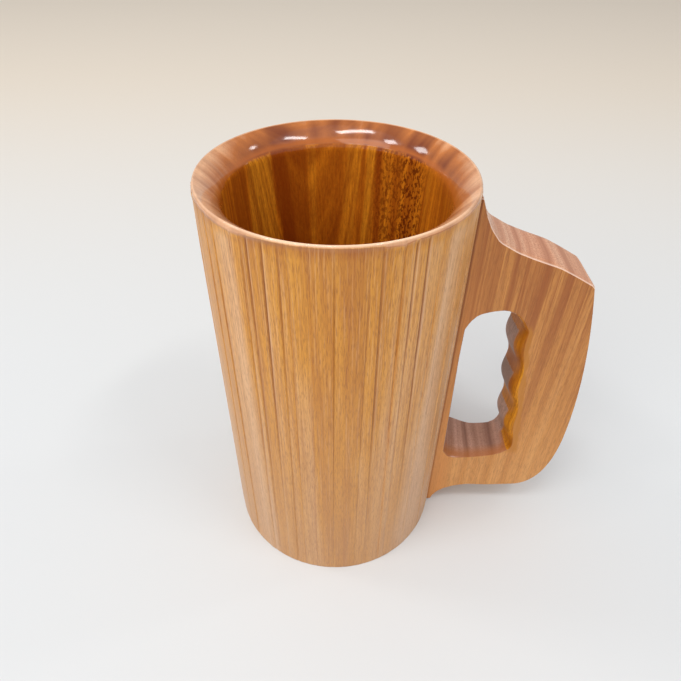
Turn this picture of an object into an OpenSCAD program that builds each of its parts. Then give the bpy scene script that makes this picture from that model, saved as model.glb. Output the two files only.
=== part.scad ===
// Wooden beer mug: a bored block with hand-planed flats outside, a turned lip, an inset base
// disc, and a flat plank handle with finger hollows, glued and dowelled to a planed seat.
// Origin: centre of the underside. +Z is up and +X points to the handle.

/* [Body] */
// Radius of the mug, before its flats are planed
body_r = 45.2; // [40:0.1:52]
// Height of the mug
body_h = 162.5; // [140:0.5:185]
// Thickness of the bored wall
wall_t = 8.2; // [7:0.1:10]

/* [Lip] */
// Width of the bevel round the outer edge of the lip
lip_bevel_w = 1; // [0.5:0.1:1.6]
// Height of that bevel
lip_bevel_h = 1.3; // [0.6:0.1:1.8]
// Drop of the lip's inner slope, from its crest to the bore
lip_drop = 7; // [4:0.5:10]
// Swell of that slope over a straight one
lip_swell = 0.6; // [0.2:0.1:1.2]

/* [Planed flats] */
// Deepest cut of the plane below the turned radius
plane_cut = 0.45; // [0.2:0.05:0.7]
// Width of the line that the iron's corner leaves between two flats
line_w = 0.7; // [0.4:0.05:1]
// Depth of the deepest such line
line_d = 0.5; // [0.2:0.05:0.6]
// Round strip that the plane leaves at either side of the handle's seat
land_w = 1.2; // [0.6:0.1:3]

/* [Base disc] */
// Thickness of the base disc
disc_t = 10; // [7:0.5:14]
// Wood left outside the rabbet that takes the disc
rabbet_wall = 4; // [3.5:0.25:5]
// Bevel round the underside of the disc
disc_bevel = 0.5; // [0.3:0.1:1]

/* [Handle] */
// Thickness of the handle's plank
handle_t = 20; // [16:0.5:24]
// Reach of the handle from its seat to the back of the grip
handle_out = 54.9; // [48:0.1:62]
// Drop from the rim to the top corner of the grip
corner_drop = 36.7; // [32:0.1:40]
// Drop from the rim to the top of the hand opening
opening_drop = 48; // [44:0.1:54]
// Lift of the hand opening over the table
opening_lift = 32.8; // [28:0.1:36]
// Lift of the handle's underside over the table
under_lift = 12; // [9:0.1:14]
// Height over the table at which the grip reaches furthest
back_lift = 48; // [38:0.5:55]
// Wood between the seat and the opening, at the opening's top
spine_t = 2.9; // [2.5:0.1:5]
// What the spine gains in thickness down to the opening's floor
spine_flare = 1.2; // [0:0.1:4]
// Width of the grip at its lowest hollow
grip_w = 22.9; // [18:0.1:26]
// Lean of the grip away from the body, going down, in degrees
grip_lean = 6.2; // [0:0.1:8]
// Height of the arch at the opening's top
arch_h = 9; // [6:0.5:12]
// Height of the rounded floor of the opening
floor_h = 8; // [5:0.5:10]
// Number of ridges between the finger hollows
ridges = 3; // [2:1:4]
// Pitch of the finger hollows
finger_pitch = 21.9; // [16:0.1:24]
// Rise of a ridge over its hollows
ridge_rise = 2.3; // [1:0.1:4]
// How much higher the ridges sit at the front cheek than at the back one
ridge_slant = 4.5; // [0:0.1:6]
// Depth of the rounded edges round the outside of the plank, measured across it
roll_d = 3; // [1.5:0.1:4]
// Width of those edges
roll_w = 0.6; // [0.4:0.1:2]
// Depth of the rounded edges round the hand opening, measured across the plank
hand_roll_d = 6; // [3:0.5:7.5]
// Width of the rounded edges on the grip side of the opening
grip_roll_w = 1.7; // [1:0.1:3]
// Width of the rounded edges on the body side of the opening
spine_roll_w = 0.7; // [0.3:0.1:1.2]

/* [Dowels] */
// Diameter of the dowels
dowel_d = 8; // [5:0.5:10]
// Depth of a dowel's hole in the body
dowel_in_body = 4.3; // [3:0.1:4.8]
// Depth of a dowel's hole in the handle
dowel_in_handle = 19; // [12:0.5:22]
// Bevel at the ends of a dowel
dowel_bevel = 0.8; // [0.4:0.1:1.2]
// Wood between the hand opening and either dowel
dowel_clear = 7; // [5.5:0.25:9]
// Room for glue round a dowel, at its ends and round the disc
glue = 0.1; // [0.05:0.05:0.3]

/* [Hidden] */

// How far a cut runs past what it cuts
overrun = 1;
// Sides of a full circle
circle_sides = 96;
// Steps of the lip's slope, of a handle curve, of a rounded edge and of a finger pitch
lip_steps = 10;
curve_steps = 9;
roll_steps = 3;
finger_steps = 8;
// Steps of the round land, from its middle to either side
land_steps = 5;

bore_r = body_r - wall_t;
rabbet_r = body_r - rabbet_wall;
crest_r = body_r - lip_bevel_w;
lip_slope = lip_bevel_h / lip_bevel_w;

// The flat that seats the handle is as wide as the plank, and stops under the lip
seat_half_deg = asin(handle_t / 2 / body_r);
seat_x = body_r * cos(seat_half_deg);
land_half_deg = seat_half_deg + asin(land_w / body_r);

// Widths of the flats from the seat round the front, shared over half the turn that the
// seat and its lands leave. The back has them once more.
flat_width_shares = [9, 11, 11, 4, 7, 6, 4, 8, 5, 7, 5, 9, 7, 4, 6, 6, 3, 5, 10, 7, 6, 10, 8, 9];
// Depth of the line after each flat, as a share of the deepest
line_shares = [
    0.2, 0.3, 0.3, 0.25, 0.95, 0.9, 0.4, 0.75, 0.3, 0.45, 0.4, 0.5,
    0.6, 0.45, 1, 0.95, 0.6, 0.45, 0.4, 0.2, 0.5, 0.3, 0.4, 0.3
];
// Depth of the plane at the two ends of each flat in turn, as a share of the deepest
cut_shares = [0.1, 0.7, 0.3, 0.9, 0.2, 0.5, 0.8, 0.15, 0.6, 0.4, 1];

half_sweep = 180 - land_half_deg;
flat_total = sum(flat_width_shares);
flat_count = 2 * len(flat_width_shares);

// The handle's edges, as shares of its reach from the seat and of a drop or lift. The top
// edge is cut in short flats, and runs from under the lip to the corner of the grip.
top_edge_shares = [
    [0.016, 0.118], [0.053, 0.256], [0.1, 0.4], [0.162, 0.525], [0.286, 0.633],
    [0.4, 0.703], [0.563, 0.79], [0.678, 0.881], [0.815, 1]
];
under_edge_shares = [
    [0.69, 1], [0.478, 0.95], [0.326, 0.99], [0.217, 0.88], [0.139, 0.72],
    [0.09, 0.53], [0.057, 0.3], [0.035, 0.05]
];
// Pull of the two handles of each curve at the back, as shares of the curve's span
back_pull_shares = [[0.66, 0.345], [1, 0.68]];
heel_pull_shares = [[0, 0.556], [0.264, 1]];
// The opening's arch and floor, as shares of the opening's width and of their own height.
// The floor is cut square at the front cheek and sloping at the back one.
arch_shares = [[0.08, 0.47], [0.19, 0.8], [0.39, 0.95], [0.61, 1], [0.78, 0.8], [0.91, 0.42]];
floor_front_shares = [
    [0.985, 0.75], [0.88, 0.42], [0.74, 0.22], [0.46, 0.06], [0.24, 0], [0.09, 0.05], [0, 0.5]
];
floor_back_shares = [
    [1, 0.7], [0.95, 0.3], [0.84, 0.06], [0.57, 0], [0.44, 0.14], [0.19, 0.55], [0.05, 0.8]
];

// Width of the opening's rounded edge at the back cheek, as a share of that at the front
back_roll_share = 0.35;
// Height of a ridge that the rounded edge takes off, as a share of it
ridge_ease_share = 0.6;

opening_top = body_h - opening_drop;
arch_z = opening_top - arch_h;
floor_z = opening_lift + floor_h;
finger_mid_share = 0.49;
finger_mid_z = mix(floor_z, arch_z, finger_mid_share);
spine_top_x = seat_x + spine_t;
spine_foot_x = spine_top_x + spine_flare;
hollow_x = seat_x + handle_out - grip_w;

dowel_r = dowel_d / 2;
dowel_hole_r = dowel_r + glue;
upper_dowel_z = opening_top + dowel_clear + dowel_r;
lower_dowel_z = (opening_lift + under_lift * under_edge_shares[2].y) / 2;
dowel_length = dowel_in_body + dowel_in_handle - 2 * glue;

// Number at share f of the way from a to b
function mix(a, b, f) = a + (b - a) * f;

// Sum of the first count numbers of a list
function sum(list, count = undef, i = 0) =
    i >= (is_undef(count) ? len(list) : count) ? 0 : list[i] + sum(list, count, i + 1);

// Two lists of points mixed at share f
function blend(a, b, f) = [for (i = [0 : len(a) - 1]) a[i] + (b[i] - a[i]) * f];

// Point at angle a and radius r
function polar(a, r) = [r * cos(a), r * sin(a)];

// Entry i of a list that repeats
function cycle(list, i) = list[i % len(list)];

// Swelling slope of the lip, from its crest down to the bore
function lip_curve() =
    let (way = [bore_r - crest_r, -lip_drop], out = [way.y, -way.x] / norm(way))
    [
        for (k = [0 : lip_steps]) let (t = k / lip_steps)
            [crest_r, body_h] + way * t + out * lip_swell * 4 * t * (1 - t)
    ];

// Angle at which flat i starts, going round from the seat by way of the front
function flat_deg(i) =
    let (half = floor(i / len(flat_width_shares)), n = i - half * len(flat_width_shares))
    -land_half_deg - half_sweep * (half + sum(flat_width_shares, n) / flat_total);

// Corners of flat i and the bottom of the line after it
function flat_corners(i) =
    let (
        line_half_deg = asin(line_w / 2 / body_r),
        start_r = body_r - plane_cut * cycle(cut_shares, 3 * i),
        end_r = body_r - plane_cut * cycle(cut_shares, 3 * i + 4),
        line_r = min(start_r, end_r) - line_d * cycle(line_shares, i)
    )
    [
        polar(flat_deg(i) - line_half_deg, start_r),
        polar(flat_deg(i + 1) + line_half_deg, end_r),
        if (i < flat_count - 1) polar(flat_deg(i + 1), line_r)
    ];

// Outline of the planed body: the round land at the handle, then the flats
function body_outline() = concat(
    [for (k = [land_steps : -1 : -land_steps]) polar(land_half_deg * k / land_steps, body_r)],
    [for (i = [0 : flat_count - 1]) each flat_corners(i)]
);

// Cubic curve from p to q. Each pull is a point at two shares of the way from p to q.
function curve(p, q, pulls) =
    let (
        a = [mix(p.x, q.x, pulls[0].x), mix(p.y, q.y, pulls[0].y)],
        b = [mix(p.x, q.x, pulls[1].x), mix(p.y, q.y, pulls[1].y)]
    )
    [
        for (k = [1 : curve_steps]) let (t = k / curve_steps, s = 1 - t)
            s * s * s * p + 3 * s * s * t * a + 3 * s * t * t * b + t * t * t * q
    ];

// Point on the handle at a share of its reach
function out_at(share, z) = [seat_x + handle_out * share, z];

// Outline of the handle, closed by the straight edge that lies on the seat
function handle_outline() =
    let (
        top = [for (s = top_edge_shares) out_at(s.x, body_h - corner_drop * s.y)],
        under = [for (s = under_edge_shares) out_at(s.x, under_lift * s.y)],
        back = out_at(1, back_lift)
    )
    concat(
        [out_at(0, top[0].y)], top,
        curve(top[len(top) - 1], back, back_pull_shares),
        curve(back, under[0], heel_pull_shares),
        [for (i = [1 : len(under) - 1]) under[i]],
        [out_at(0, under[len(under) - 1].y)]
    );

// How far the ridges stand out at height z, for a share f of the way through the plank from
// its front cheek to its back one
function rise_at(z, f) =
    let (
        from_mid = z - finger_mid_z - ridge_slant * (0.5 - f),
        wave = (1 + cos(360 * from_mid / finger_pitch + (ridges % 2 == 0 ? 180 : 0))) / 2
    )
    abs(from_mid) < finger_pitch * ridges / 2 ? ridge_rise * wave : 0;

// Distance of the grip side of the opening from the axis at height z, for the same share f
function grip_x(z, f) = hollow_x - (z - floor_z) * tan(grip_lean) - rise_at(z, f);

// Outline of the hand opening at share f of the way through the plank
function opening_outline(f) =
    let (
        top_w = grip_x(arch_z, f) - spine_top_x,
        floor_w = grip_x(floor_z, f) - spine_foot_x,
        count = ceil((arch_z - floor_z) / finger_pitch * finger_steps)
    )
    concat(
        [[spine_foot_x, floor_z], [spine_top_x, arch_z]],
        [for (s = arch_shares) [spine_top_x + top_w * s.x, arch_z + arch_h * s.y]],
        [for (k = [0 : count]) let (z = mix(arch_z, floor_z, k / count)) [grip_x(z, f), z]],
        [
            for (s = blend(floor_front_shares, floor_back_shares, f))
                [spine_foot_x + floor_w * s.x, opening_lift + floor_h * s.y]
        ]
    );

// Unit vector square to the left of the way from p to q
function left_of(p, q) = [p.y - q.y, q.x - p.x] / norm(q - p);

// Point i of a closed outline, moved sideways by its own distance in moves
function moved(points, moves, i) =
    let (
        n = len(points),
        a = left_of(points[(i + n - 1) % n], points[i]),
        b = left_of(points[i], points[(i + 1) % n])
    )
    points[i] + (a + b) / (1 + a * b) * moves[i];

// Solid through rings of equally many points
module skin(rings) {
    n = len(rings[0]);
    polyhedron(
        points = [for (ring = rings) each ring],
        faces = concat(
            [[for (i = [0 : n - 1]) i]],
            [for (k = [0 : len(rings) - 2], i = [0 : n - 1]) let (j = (i + 1) % n, a = k * n, b = a + n)
                each [[a + i, b + i, b + j], [a + i, b + j, a + j]]],
            [[for (i = [n - 1 : -1 : 0]) (len(rings) - 1) * n + i]]
        )
    );
}

// Plank of an outline, given for each share of the way through it, whose edges roll over
// across a depth and by their own widths: inwards where these are negative, and flaring
// where positive. The back ones have a share of their widths.
module rolled_plank(outline, depth, rolls, back_share = 1, extra = 0) {
    angles = [for (k = [0 : roll_steps]) 90 * k / roll_steps];
    front = [for (a = angles) [depth * (1 - cos(a)), 1 - sin(a)]];
    levels = concat(
        [if (extra > 0) [-extra, 1]],
        front,
        [for (k = [roll_steps : -1 : 0]) [handle_t - front[k].x, front[k].y * back_share]],
        [if (extra > 0) [handle_t + extra, back_share]]
    );
    skin([
        for (level = levels) let (points = outline(level.x / handle_t)) [
            for (i = [0 : len(points) - 1])
                let (p = moved(points, rolls * level.y, i)) [p.x, level.x - handle_t / 2, p.y]
        ]
    ]);
}

// Blind hole along X at height z, from inner to outer
module dowel_hole(z, inner, outer) {
    translate([inner, 0, z])
        rotate([0, 90, 0])
            cylinder(h = outer - inner, r = dowel_hole_r, $fn = circle_sides / 2);
}

// Dowel across the seat at height z
module dowel(z) {
    translate([seat_x - dowel_in_body + glue, 0, z])
        rotate([0, 90, 0])
            rotate_extrude($fn = circle_sides / 2)
                polygon([
                    [0, 0], [dowel_r - dowel_bevel, 0], [dowel_r, dowel_bevel],
                    [dowel_r, dowel_length - dowel_bevel], [dowel_r - dowel_bevel, dowel_length],
                    [0, dowel_length]
                ]);
}

// Block bored through, turned at the lip, planed along the outside, and cut flat under the
// lip for the handle
module body() {
    seat_top = body_h - corner_drop * top_edge_shares[0].y + glue;
    color("peru")
        difference() {
            intersection() {
                rotate_extrude($fn = circle_sides)
                    polygon(concat(
                        [
                            [bore_r, 0], [body_r + plane_cut, 0],
                            [body_r + plane_cut, body_h - lip_bevel_h - plane_cut * lip_slope]
                        ],
                        lip_curve()
                    ));
                linear_extrude(height = body_h + overrun)
                    polygon(body_outline());
            }
            translate([0, 0, -overrun])
                cylinder(h = disc_t + overrun, r = rabbet_r, $fn = circle_sides);
            translate([seat_x, -handle_t, -overrun])
                cube([body_r, 2 * handle_t, seat_top + overrun]);
            for (z = [lower_dowel_z, upper_dowel_z])
                dowel_hole(z, seat_x - dowel_in_body, seat_x + overrun);
        }
}

// Disc glued into the rabbet from below, flush with the foot
module base_disc() {
    color("burlywood")
        rotate_extrude($fn = circle_sides)
            polygon([
                [0, 0], [rabbet_r - glue - disc_bevel, 0], [rabbet_r - glue, disc_bevel],
                [rabbet_r - glue, disc_t], [0, disc_t]
            ]);
}

// Plank handle with its hand opening and dowel holes. Its rounded edges die out at the seat.
module handle() {
    opening_w = hollow_x - spine_top_x;
    outer_rolls = [for (p = handle_outline()) -roll_w * min(1, (p.x - seat_x) / spine_t)];
    opening_rolls = [
        for (p = opening_outline(0.5))
            let (across = max(0, min(1, (p.x - spine_top_x) / opening_w)))
                mix(spine_roll_w, grip_roll_w, across)
                    + ridge_ease_share * round(across) * rise_at(p.y, 0.5)
    ];
    color("sienna")
        difference() {
            rolled_plank(function(f) handle_outline(), roll_d, outer_rolls);
            rolled_plank(
                function(f) opening_outline(f), hand_roll_d, opening_rolls, back_roll_share, overrun
            );
            for (z = [lower_dowel_z, upper_dowel_z])
                dowel_hole(z, seat_x - overrun, seat_x + dowel_in_handle);
        }
}

// Dowel in the upper root of the handle
module upper_dowel() {
    color("wheat") dowel(upper_dowel_z);
}

// Dowel in the lower root of the handle
module lower_dowel() {
    color("wheat") dowel(lower_dowel_z);
}

body();
base_disc();
handle();
upper_dowel();
lower_dowel();
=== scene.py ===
"""Wooden beer mug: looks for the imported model, in metres and in the model's own frame.

The planed body and the plank handle are modelled again with finer flats, lines and rounded
edges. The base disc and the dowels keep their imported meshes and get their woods.
"""

from __future__ import annotations

import logging
import math
from dataclasses import dataclass, replace
from enum import Enum
from typing import Callable, Sequence

import bmesh
import bpy
import numpy as np
from mathutils import Matrix, Vector


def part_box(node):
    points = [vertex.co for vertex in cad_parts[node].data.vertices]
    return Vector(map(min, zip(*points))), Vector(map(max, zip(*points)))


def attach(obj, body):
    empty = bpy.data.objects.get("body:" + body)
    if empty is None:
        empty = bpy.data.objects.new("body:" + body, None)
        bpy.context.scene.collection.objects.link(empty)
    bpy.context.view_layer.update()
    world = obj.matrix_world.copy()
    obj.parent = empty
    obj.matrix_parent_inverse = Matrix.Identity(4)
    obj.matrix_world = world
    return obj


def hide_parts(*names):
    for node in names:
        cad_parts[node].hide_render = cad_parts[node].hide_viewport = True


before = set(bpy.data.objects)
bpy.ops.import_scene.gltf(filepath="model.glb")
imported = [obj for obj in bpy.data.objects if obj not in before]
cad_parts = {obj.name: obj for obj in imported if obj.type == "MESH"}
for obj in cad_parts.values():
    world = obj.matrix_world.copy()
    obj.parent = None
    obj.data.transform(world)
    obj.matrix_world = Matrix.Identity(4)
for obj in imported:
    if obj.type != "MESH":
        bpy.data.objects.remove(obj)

LOG = logging.getLogger("mug")
MM = 0.001
TURN_DEG = 360.0
BODY_NAME = "root"
PICTURE_SIDE_PX = 681
SENSOR_MM = 36.0
DOWELS = ("lower_dowel", "upper_dowel")

Point2 = tuple[float, float]
Point3 = tuple[float, float, float]
Stops = dict[int, float]
Piece = bpy.types.Object
Look = bpy.types.Material
Tree = bpy.types.NodeTree
Socket = bpy.types.NodeSocket


def linear(hex_colour: str) -> tuple[float, float, float, float]:
    """Turns an sRGB hex colour to linear light.

    Args:
        hex_colour: Six hex digits after a hash.

    Returns:
        Red, green, blue and an alpha of one.
    """
    parts = [int(hex_colour[i:i + 2], 16) / 255 for i in (1, 3, 5)]
    values = [p / 12.92 if p <= 0.04045 else ((p + 0.055) / 1.055) ** 2.4 for p in parts]
    return (values[0], values[1], values[2], 1.0)


def mix(a: float, b: float, share: float) -> float:
    """Returns the number at a share of the way from a to b."""
    return a + (b - a) * share


def limit(value: float) -> float:
    """Returns the value kept between 0 and 1."""
    return max(0.0, min(1.0, value))


def polar(angle_deg: float, radius: float) -> Point2:
    """Returns the point at an angle and a radius."""
    return (radius * math.cos(math.radians(angle_deg)), radius * math.sin(math.radians(angle_deg)))


def bearing(place: Vector) -> Point2:
    """Returns the angle of a place, from -180 to 180 degrees, and its radius."""
    return math.degrees(math.atan2(place.y, place.x)), math.hypot(place.x, place.y)


def apart(a_deg: float, b_deg: float) -> float:
    """Returns how far one angle lies past another, from -180 to 180 degrees."""
    return (a_deg - b_deg + TURN_DEG / 2) % TURN_DEG - TURN_DEG / 2


def near(angle_deg: float, middle_deg: float, fullness: float, width_deg: float) -> float:
    """Returns 1 round a middle angle, falling to 0 at fullness times the width from it."""
    return limit(fullness - abs(angle_deg % TURN_DEG - middle_deg) / width_deg)


def stops_at(stops: Stops, angle_deg: float) -> float:
    """Reads a table of numbers at an angle.

    Args:
        stops: Numbers by their angle, in order from 0 to 360 degrees.
        angle_deg: The angle.

    Returns:
        The number, evenly between the two nearest angles.
    """
    angle_deg %= TURN_DEG
    angles = list(stops)
    for a, b in zip(angles, angles[1:]):
        if a <= angle_deg <= b:
            return mix(stops[a], stops[b], (angle_deg - a) / (b - a))
    return stops[angles[-1]]


def round_corner(start: Point2, corner: Point2, end: Point2, steps: Sequence[float]) -> list[Point2]:
    """Rounds a corner off.

    Args:
        start: Where the rounding starts.
        corner: The corner, which pulls the curve.
        end: Where the rounding ends.
        steps: Shares of the way at which points are wanted.

    Returns:
        The points.
    """
    made = []
    for t in steps:
        a, b, c = (1 - t) ** 2, 2 * t * (1 - t), t * t
        made.append((a * start[0] + b * corner[0] + c * end[0],
                     a * start[1] + b * corner[1] + c * end[1]))
    return made


def add_node(tree: Tree, kind: str, inputs: dict | None = None, out: int | str = 0,
             **settings: object) -> Socket | None:
    """Adds one node with its settings, values and links.

    Args:
        tree: The tree that gets the node.
        kind: The node's type name, without its ShaderNode prefix.
        inputs: For each socket, by name or number, a value or the socket that feeds it.
        out: Name or number of the wanted output.
        **settings: Properties to set on the node.

    Returns:
        The wanted output, if the node has outputs.
    """
    node = tree.nodes.new("ShaderNode" + kind)
    for name, value in settings.items():
        setattr(node, name, value)
    for name, value in (inputs or {}).items():
        if isinstance(value, Socket):
            tree.links.new(value, node.inputs[name])
        else:
            node.inputs[name].default_value = value
    return node.outputs[out] if node.outputs else None


def deselect() -> None:
    """Leaves edit mode and deselects every object."""
    if bpy.context.object and bpy.context.object.mode != "OBJECT":
        bpy.ops.object.mode_set(mode="OBJECT")
    bpy.ops.object.select_all(action="DESELECT")


def pick(obj: Piece) -> None:
    """Makes one object the only selected and the active one.

    Args:
        obj: The object.
    """
    deselect()
    obj.select_set(True)
    bpy.context.view_layer.objects.active = obj


def apply_modifier(obj: Piece, name: str, kind: str, **settings: object) -> None:
    """Adds a modifier to an object and applies it.

    Args:
        obj: The object that the modifier finishes.
        name: The modifier's name.
        kind: The modifier's type.
        **settings: Properties to set on the modifier.
    """
    pick(obj)
    modifier = obj.modifiers.new(name, kind)
    for key, value in settings.items():
        setattr(modifier, key, value)
    bpy.ops.object.modifier_apply(modifier=modifier.name)


def draw_up(name: str, rings: Sequence[Sequence[Point3]], closed: bool = False) -> Piece:
    """Extrudes a circle of edges ring by ring, each ring set to its own outline.

    Args:
        name: Name of the new object.
        rings: Rings of equally many points, in millimetres.
        closed: Whether the last ring joins the first. If not, both ends are filled.

    Returns:
        The new object, with its normals outward.
    """
    deselect()
    count = len(rings[0])
    bpy.ops.mesh.primitive_circle_add(vertices=count, radius=1.0, location=(0, 0, 0))
    obj = bpy.context.object
    obj.name = name
    obj.data.name = name
    bpy.ops.object.mode_set(mode="EDIT")
    mesh = bmesh.from_edit_mesh(obj.data)
    mesh.verts.ensure_lookup_table()
    loop = list(mesh.verts)
    for vert, point in zip(loop, rings[0]):
        vert.co = Vector(point) * MM
    first = [v.index for v in loop]
    for ring in rings[1:]:
        place = {v: i for i, v in enumerate(loop)}
        bpy.ops.mesh.extrude_region_move()
        grown: list = [None] * count
        for vert in (v for v in mesh.verts if v.select):
            for edge in vert.link_edges:
                other = edge.other_vert(vert)
                if other in place:
                    grown[place[other]] = vert
        for vert, point in zip(grown, ring):
            vert.co = Vector(point) * MM
        loop = grown
    bpy.ops.mesh.select_all(action="DESELECT")
    mesh.verts.ensure_lookup_table()
    ends = [[mesh.verts[i] for i in first], loop]
    if closed:
        for vert in ends[0] + ends[1]:
            vert.select_set(True)
        mesh.select_flush(True)
        bpy.ops.mesh.bridge_edge_loops()
    else:
        for end in ends:
            bpy.ops.mesh.select_all(action="DESELECT")
            for a, b in zip(end, end[1:] + end[:1]):
                edge = mesh.edges.get((a, b))
                edge.select_set(True)
            bpy.ops.mesh.edge_face_add()
    bpy.ops.mesh.select_all(action="SELECT")
    bpy.ops.mesh.remove_doubles(threshold=1e-6)
    bpy.ops.mesh.normals_make_consistent(inside=False)
    bpy.ops.object.mode_set(mode="OBJECT")
    return obj


def cut_away(obj: Piece, cutter: Piece) -> None:
    """Cuts one closed shape out of another and deletes the cutter."""
    apply_modifier(obj, "cut", "BOOLEAN", operation="DIFFERENCE", solver="EXACT", object=cutter)
    bpy.data.objects.remove(cutter)


def smooth(obj: Piece, angle_deg: float) -> None:
    """Shades a piece smooth up to an angle, with its flat faces kept flat.

    Args:
        obj: The piece.
        angle_deg: Edges sharper than this stay sharp.
    """
    pick(obj)
    bpy.ops.object.shade_smooth_by_angle(angle=math.radians(angle_deg))
    apply_modifier(obj, "even", "WEIGHTED_NORMAL", keep_sharp=True, weight=60)


def store(obj: Piece, name: str, value_at: Callable[[Vector], float]) -> None:
    """Writes a number for every vertex, which the materials read.

    Args:
        obj: The piece.
        name: The attribute's name.
        value_at: The number for a place in millimetres.
    """
    values = [value_at(v.co / MM) for v in obj.data.vertices]
    attribute = obj.data.attributes.new(name, "FLOAT", "POINT")
    attribute.data.foreach_set("value", np.array(values, np.float32))


def dress(obj: Piece, *materials: Look) -> None:
    """Gives a piece its materials, in the order of its slots.

    Args:
        obj: The piece.
        *materials: Its materials.
    """
    obj.data.materials.clear()
    for material in materials:
        obj.data.materials.append(material)


def bore_dowel_holes(piece: Piece, start: float, end: float, radius: float) -> None:
    """Bores the holes of both dowels, which lie along X, into a piece.

    Args:
        piece: The piece that gets the holes.
        start: Where they start along X, in millimetres.
        end: Where they end along X.
        radius: Their radius.
    """
    sides = 32
    for name in DOWELS:
        low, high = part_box(name)
        height = (low.z + high.z) / 2 / MM
        ring = [polar(TURN_DEG * k / sides, radius) for k in range(sides)]
        cut_away(piece, draw_up("hole_cutter", [[(x, a, height + b) for a, b in ring]
                                                for x in (start, end)]))


class Finish(Enum):
    """How a wooden surface was finished."""

    PLANED = "planed, thin satin lacquer"
    TURNED = "turned smooth, thick glossy lacquer"
    SANDED = "sanded, satin lacquer"
    FLOODED = "shaped by hand, thick glossy lacquer"
    SOAKED = "lacquer soaked in and ran together, half-dull"


@dataclass(frozen=True)
class Sheen:
    """How a finish takes the light.

    Attributes:
        rough: Roughness of the wood under the lacquer.
        specular: Specular level of the wood.
        coat: Weight of the lacquer.
        coat_rough: Roughness of the lacquer.
        relief: Strength of the relief.
    """

    rough: float
    specular: float
    coat: float
    coat_rough: float
    relief: float


SHEENS = {
    Finish.PLANED: Sheen(0.5, 0.4, 0.45, 0.4, 0.3),
    Finish.TURNED: Sheen(0.6, 0.05, 1.0, 0.09, 0.08),
    Finish.SANDED: Sheen(0.5, 0.25, 0.35, 0.25, 0.2),
    Finish.FLOODED: Sheen(0.6, 0.1, 0.7, 0.2, 0.12),
    Finish.SOAKED: Sheen(0.6, 0.1, 0.2, 0.3, 0.2),
}


@dataclass(frozen=True)
class Marks:
    """Marks that run along the grain.

    Attributes:
        width_mm: How wide a mark is.
        length_mm: How long it is.
        low: Noise below this leaves no mark.
        high: Noise above this leaves a full one.
        detail: Octaves of the noise.
    """

    width_mm: float
    length_mm: float
    low: float
    high: float
    detail: float = 2.0


# Pores of teak are about 0.25 mm wide and a few millimetres long
PORES = Marks(0.26, 3.2, 0.46, 0.68)
# Fine dark streaks of late wood, and the pale hairs between them
STREAKS = Marks(0.7, 70.0, 0.42, 0.66, 3.0)
HAIRS = Marks(0.55, 50.0, 0.52, 0.68)
# Short flecks where the grain waves
FLECKS = Marks(0.9, 1.8, 0.48, 0.56, 3.0)


@dataclass(frozen=True)
class Seep:
    """Lacquer that ran out over a flat face, along a leaning edge.

    Attributes:
        at_mm: Place of the edge along X, level with the base.
        lean: How far the edge goes back along X for each unit of height.
        low_mm: Height at which it starts.
        high_mm: Height at which it ends.
        inner_mm: Nothing ran out nearer to the axis than this.
        colour: Colour of the lacquered wood.
        reach: How much of that colour shows.
        border_mm: How far past the edge it starts to fade, and where it is gone.
        uneven_mm: How far its border wanders.
        wave: Change of that border for each millimetre of height.
        end_mm: Length over which its ends fade.
    """

    at_mm: float
    lean: float
    low_mm: float
    high_mm: float
    inner_mm: float
    colour: str
    reach: float
    border_mm: Point2 = (0.4, 1.5)
    uneven_mm: float = 1.6
    wave: float = 0.16
    end_mm: float = 3.0


@dataclass(frozen=True)
class Glue:
    """A glued joint that shows as a dark line.

    Attributes:
        at_mm: Its place along X.
        border_mm: How far past it the line starts to fade, and where it is gone.
        colour: Colour of the line.
        reach: How much of that colour shows.
    """

    at_mm: float
    border_mm: Point2 = (0.35, 0.95)
    colour: str = "#7C3C04"
    reach: float = 0.85


@dataclass(frozen=True)
class Fade:
    """Wood painted paler and plainer going down: painted light, the floor's bounce lifting the lower
    part.

    Attributes:
        tone_mm: Heights at which it is palest and darkest.
        tone_reach: How far the height sets the tone, there.
        clear_mm: Heights between which rings and streaks come up.
        least: Share of them that shows at the foot.
    """

    tone_mm: Point2 = (20.0, 150.0)
    tone_reach: Point2 = (0.6, 0.35)
    clear_mm: Point2 = (50.0, 120.0)
    least: float = 0.3


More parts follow.
